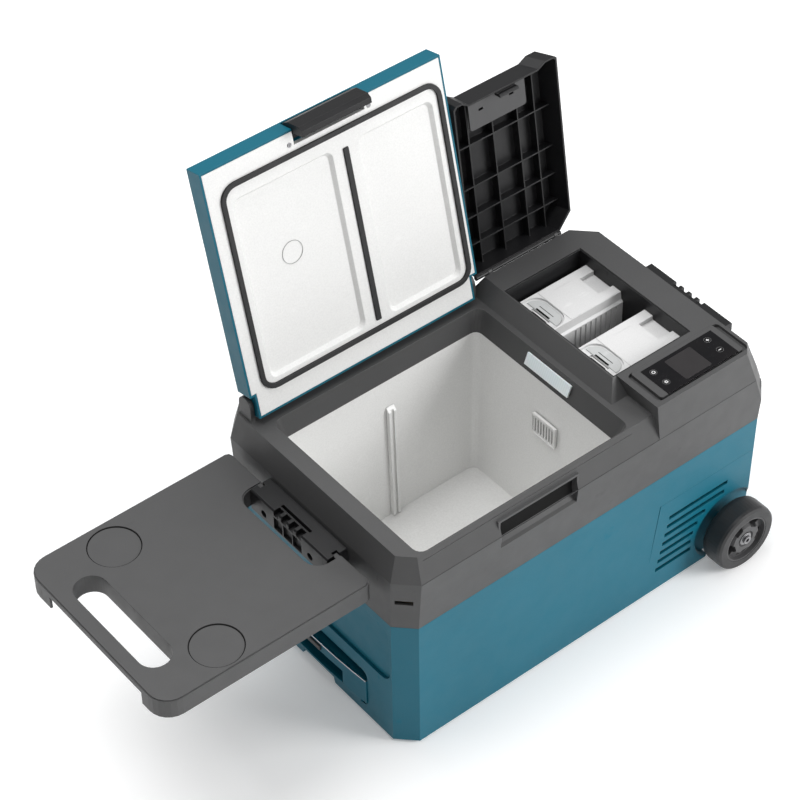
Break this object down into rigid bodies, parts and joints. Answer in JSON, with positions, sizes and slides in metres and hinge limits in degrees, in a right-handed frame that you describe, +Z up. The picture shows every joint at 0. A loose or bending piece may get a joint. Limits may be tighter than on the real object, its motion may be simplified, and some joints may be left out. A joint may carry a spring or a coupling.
{
  "type": "portable compressor fridge",
  "caption": "Compressor cooler fridge on wheels with a side table, its lid open and its battery bay open with two batteries in it.",
  "frame": {"origin": "on the floor, under the middle of the whole object's box", "axes": "+X along the body towards the wheels and machinery, -Y the front with the panel and lid latch, +Z up"},
  "size_m": [0.9316, 0.4384, 0.6826],
  "materials": {
    "teal": "moulded, fine grain, satin",
    "dark": "moulded, fine grain, matt",
    "black": "moulded, matt",
    "white": "smooth, satin",
    "foam": "rigid insulating foam, unseen",
    "rubber": "matt",
    "tyre": "matt, treaded",
    "grey": "moulded, satin",
    "battery": "moulded, fine grain",
    "glass": "glossy black panel",
    "lens": "frosted diffuser",
    "steel": "plain",
    "chrome": "polished",
    "aluminium": "anodised",
    "copper": "plated contact strip",
    "enamel": "black enamel",
    "board": "circuit board with components"
  },
  "bodies": {
    "cabinet": {"housing_shell": "teal", "top_frame": "dark", "panel_bezel": "dark", "inner_liner": "white", "divider_guide_front": "white", "divider_guide_back": "white", "sensor_cover": "white", "evaporator_jacket": "aluminium", "condenser": "aluminium", "handle_sleeve_front": "aluminium", "handle_sleeve_back": "aluminium", "insulation_foam": "foam", "lamp_lens": "lens", "compressor_base": "steel", "lid_hinge_pin_left": "steel", "lid_hinge_pin_right": "steel", "cover_hinge_pin": "steel", "axle": "steel", "axle_nut_front": "steel", "axle_nut_back": "steel", "compressor": "enamel", "fan_frame": "black", "power_inlet": "black", "battery_tray": "black", "table_bracket_left": "black", "table_bracket_right": "black", "control_board": "board", "foot_front": "rubber", "foot_back": "rubber", "terminal_front": "copper", "terminal_back": "copper", "panel_glass": "glass"},
    "lid": {"lid_shell": "teal", "lid_liner": "white", "lid_gasket": "rubber", "lid_strip": "rubber", "lid_insulation": "foam", "lid_latch_pin": "steel", "latch_screw_left": "steel", "latch_screw_right": "steel"},
    "lid_catch": {"lid_latch": "black"},
    "cover": {"battery_cover": "black", "cover_latch_plate": "grey", "cover_latch": "black"},
    "battery_1": {"battery_front": "battery"},
    "battery_1_release": {"battery_button_front": "battery"},
    "battery_2": {"battery_back": "battery"},
    "battery_2_release": {"battery_button_back": "battery"},
    "fan": {"fan_rotor": "black"},
    "wheel_front": {"tyre_front": "tyre", "hub_front": "grey"},
    "wheel_back": {"tyre_back": "tyre", "hub_back": "grey"},
    "table": {"side_table": "dark"},
    "pull_handle": {"handle_grip": "teal", "handle_trim": "chrome", "handle_tube_front": "chrome", "handle_tube_back": "chrome"},
    "handle_release": {"handle_button": "dark"},
    "inlet_flap": {"inlet_cover": "rubber"}
  },
  "joints": [
    {"name": "lid_hinge", "type": "hinge", "parent": "cabinet", "child": "lid", "pos_m": [0.14425, 0.1336, 0.3552], "axis": [1, 0, 0], "range_deg": [0, 103.8]},
    {"name": "lid_latch_hinge", "type": "hinge", "parent": "lid", "child": "lid_catch", "pos_m": [0.03725, 0.20686, 0.65848], "axis": [1, 0, 0], "range_deg": [-25, 0], "stiffness_Nm_per_rad": 0.5},
    {"name": "cover_hinge", "type": "hinge", "parent": "cabinet", "child": "cover", "pos_m": [0.29225, 0.1304, 0.356], "axis": [1, 0, 0], "range_deg": [0, 99.5]},
    {"name": "battery_front_lift", "type": "slide", "parent": "cabinet", "child": "battery_1", "axis": [0, 0, -1], "range_m": [-0.1, 0]},
    {"name": "battery_front_button", "type": "slide", "parent": "battery_1", "child": "battery_1_release", "axis": [1, 0, 0], "range_m": [0, 0.0008], "stiffness_N_per_m": 800},
    {"name": "battery_back_lift", "type": "slide", "parent": "cabinet", "child": "battery_2", "axis": [0, 0, -1], "range_m": [-0.1, 0]},
    {"name": "battery_back_button", "type": "slide", "parent": "battery_2", "child": "battery_2_release", "axis": [1, 0, 0], "range_m": [0, 0.0008], "stiffness_N_per_m": 800},
    {"name": "fan_spin", "type": "hinge", "parent": "cabinet", "child": "fan", "pos_m": [0.30225, -0.1049, 0.152], "axis": [0, 1, 0], "continuous": true},
    {"name": "wheel_front_spin", "type": "hinge", "parent": "cabinet", "child": "wheel_front", "pos_m": [0.38225, -0.2004, 0.0486], "axis": [0, 1, 0], "continuous": true},
    {"name": "wheel_back_spin", "type": "hinge", "parent": "cabinet", "child": "wheel_back", "pos_m": [0.38225, 0.1906, 0.0486], "axis": [0, 1, 0], "continuous": true},
    {"name": "table_lift", "type": "slide", "parent": "cabinet", "child": "table", "axis": [0, 0, 1], "range_m": [0, 0.06]},
    {"name": "handle_pull", "type": "slide", "parent": "cabinet", "child": "pull_handle", "axis": [-1, 0, 0], "range_m": [0, 0.28]},
    {"name": "handle_button_press", "type": "slide", "parent": "pull_handle", "child": "handle_release", "axis": [1, 0, 0], "range_m": [0, 0.002], "stiffness_N_per_m": 400},
    {"name": "inlet_cover_hinge", "type": "hinge", "parent": "cabinet", "child": "inlet_flap", "pos_m": [0.44925, 0.0751, 0.185], "axis": [0, 1, 0], "range_deg": [-120, 0]}
  ]
}
